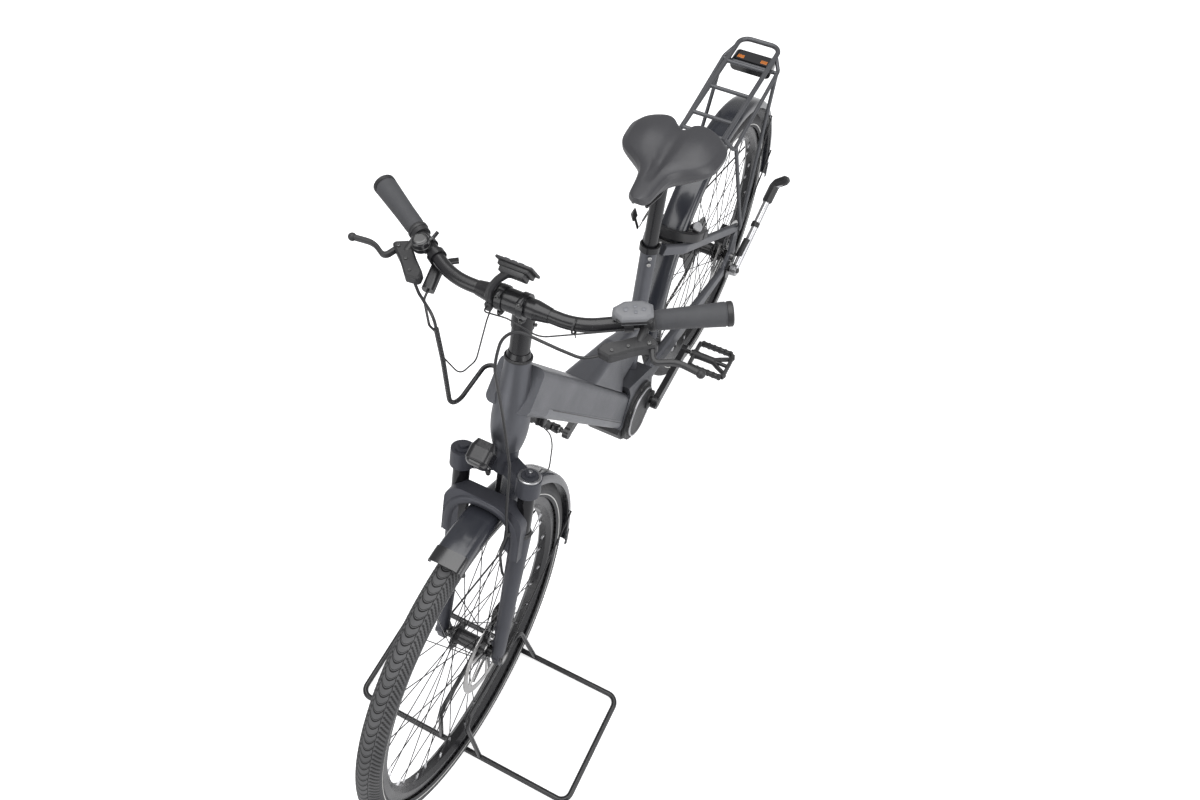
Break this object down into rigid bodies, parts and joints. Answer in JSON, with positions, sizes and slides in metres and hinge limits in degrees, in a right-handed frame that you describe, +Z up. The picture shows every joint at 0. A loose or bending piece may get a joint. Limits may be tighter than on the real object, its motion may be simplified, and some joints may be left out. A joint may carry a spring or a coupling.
{
  "type": "electric bicycle",
  "caption": "Step-through electric city bicycle with mid motor, suspension fork, mudguards, rear rack, kickstand and ring lock, held at the front wheel by a wire floor stand.",
  "frame": {"origin": "on the floor, midway between the front of the front tyre and the back of the rear mudguard, in the plane of the wheels", "axes": "+X to the rider's left, +Y to the back, +Z up"},
  "size_m": [0.6252, 1.909, 1.1475],
  "materials": {
    "frame": "matte anthracite paint",
    "black_plastic": "matte",
    "gloss_black": "gloss",
    "black_metal": "satin black",
    "tyre": "moulded",
    "grip": "fine texture",
    "silver": "satin",
    "steel": "brushed",
    "rack_grey": "satin grey",
    "saddle": "soft grained cover",
    "lamp_red": "lens"
  },
  "bodies": {
    "front_wheel": {"front_tyre": "tyre", "front_rim": "black_metal", "front_hub": "black_metal", "front_spokes": "black_metal", "front_brake_disc": "steel"},
    "rear_wheel": {"rear_tyre": "tyre", "rear_rim": "black_metal", "rear_hub": "black_metal", "rear_spokes": "black_metal", "rear_brake_disc": "steel", "cassette": "steel"},
    "crankset": {"crankset": "black_metal"},
    "pedal_left": {"pedal_left": "black_plastic"},
    "pedal_right": {"pedal_right": "black_plastic"},
    "kickstand": {"kickstand": "silver"},
    "steering_assembly": {"fork_crown": "black_metal", "fork_lowers": "black_metal", "front_axle": "steel", "headset_spacers": "black_metal", "stem": "black_metal", "handlebar": "black_metal", "grip_left": "grip", "grip_right": "grip", "brake_lever_left": "black_metal", "brake_lever_right": "black_metal", "bell": "black_metal", "display": "gloss_black", "control_unit": "black_plastic", "headlight": "gloss_black", "front_mudguard": "gloss_black", "front_caliper": "black_metal", "front_brake_hose": "black_plastic", "stand": "black_metal", "front_guard_stays": "black_metal", "cables_right": "black_plastic", "display_wires": "black_plastic", "crown_wire": "black_plastic", "shifter": "black_metal"},
    "frame": {"battery_cover": "black_plastic", "belly_cover": "black_plastic", "chain": "steel", "chain_guard": "black_plastic", "chain_stays": "frame", "derailleur": "black_metal", "frame_front": "frame", "kickstand_bracket": "black_metal", "motor": "black_plastic", "motor_bridge": "frame", "rack": "rack_grey", "rear_axle": "steel", "rear_caliper": "black_metal", "rear_guard_stays": "black_metal", "rear_mudguard": "gloss_black", "ring_lock": "black_plastic", "saddle": "saddle", "seat_clamp": "black_metal", "seat_post": "black_metal", "seat_stays": "frame", "seat_tube": "frame", "tail_light": "lamp_red"}
  },
  "joints": [
    {"name": "steering", "type": "hinge", "parent": "steering_assembly", "child": "frame", "pos_m": [0, -0.55586, 0.33755], "axis": [0, 0.3714, 0.9285], "range_deg": [-60, 60], "deforming": ["cables_right", "crown_wire"]},
    {"name": "front_wheel_turn", "type": "hinge", "parent": "steering_assembly", "child": "front_wheel", "pos_m": [0, -0.5995, 0.355], "axis": [1, 0, 0], "continuous": true},
    {"name": "rear_wheel_turn", "type": "hinge", "parent": "frame", "child": "rear_wheel", "pos_m": [0, 0.5685, 0.355], "axis": [1, 0, 0], "continuous": true},
    {"name": "crank_turn", "type": "hinge", "parent": "frame", "child": "crankset", "pos_m": [0, 0.1105, 0.301], "axis": [1, 0, 0], "continuous": true},
    {"name": "pedal_left_turn", "type": "hinge", "parent": "crankset", "child": "pedal_left", "pos_m": [0.145, 0.2805, 0.301], "axis": [1, 0, 0], "continuous": true},
    {"name": "pedal_right_turn", "type": "hinge", "parent": "crankset", "child": "pedal_right", "pos_m": [-0.145, -0.0595, 0.301], "axis": [1, 0, 0], "continuous": true},
    {"name": "kickstand_swing", "type": "hinge", "parent": "frame", "child": "kickstand", "pos_m": [0.088, 0.5505, 0.33], "axis": [-0.996, 0, -0.0896], "range_deg": [0, 125]}
  ]
}
